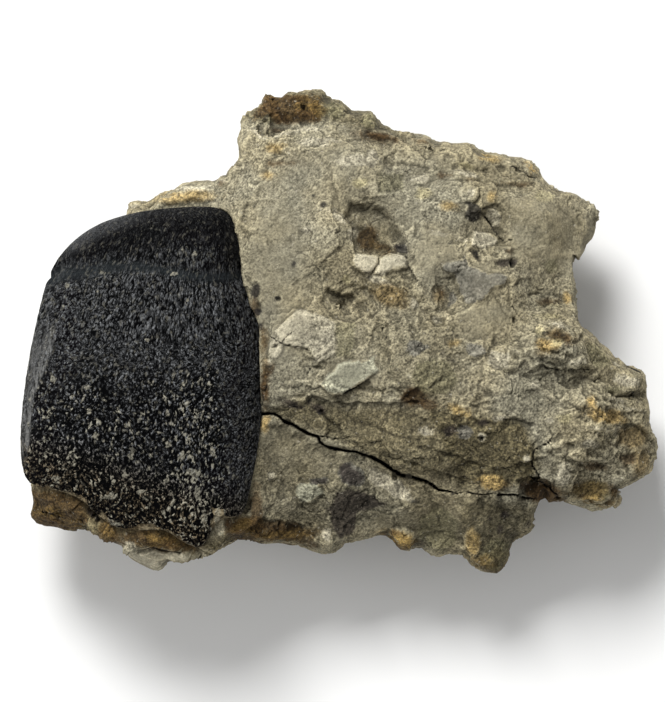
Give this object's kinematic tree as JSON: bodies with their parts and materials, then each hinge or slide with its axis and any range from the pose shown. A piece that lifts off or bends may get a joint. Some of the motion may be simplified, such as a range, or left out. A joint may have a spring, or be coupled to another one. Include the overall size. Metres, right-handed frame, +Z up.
{
  "type": "fossil dinosaur tooth in matrix",
  "caption": "Black wrinkled spatula-shaped dinosaur tooth crown, broken off above its root, seated in a rough block of pale cracked rock.",
  "frame": {"origin": "on the flat break at the rock's back, on which it rests, below the middle of its outline", "axes": "+Z up, out of the tooth's outer face; +Y from the tooth's broken base to its tip; +X from the tooth across the rock"},
  "size_m": [0.0703, 0.0536, 0.0253],
  "materials": {
    "tooth_enamel": "satin",
    "matrix_rock": "matte"
  },
  "bodies": {
    "root": {"tooth": "tooth_enamel", "matrix": "matrix_rock"}
  },
  "joints": []
}
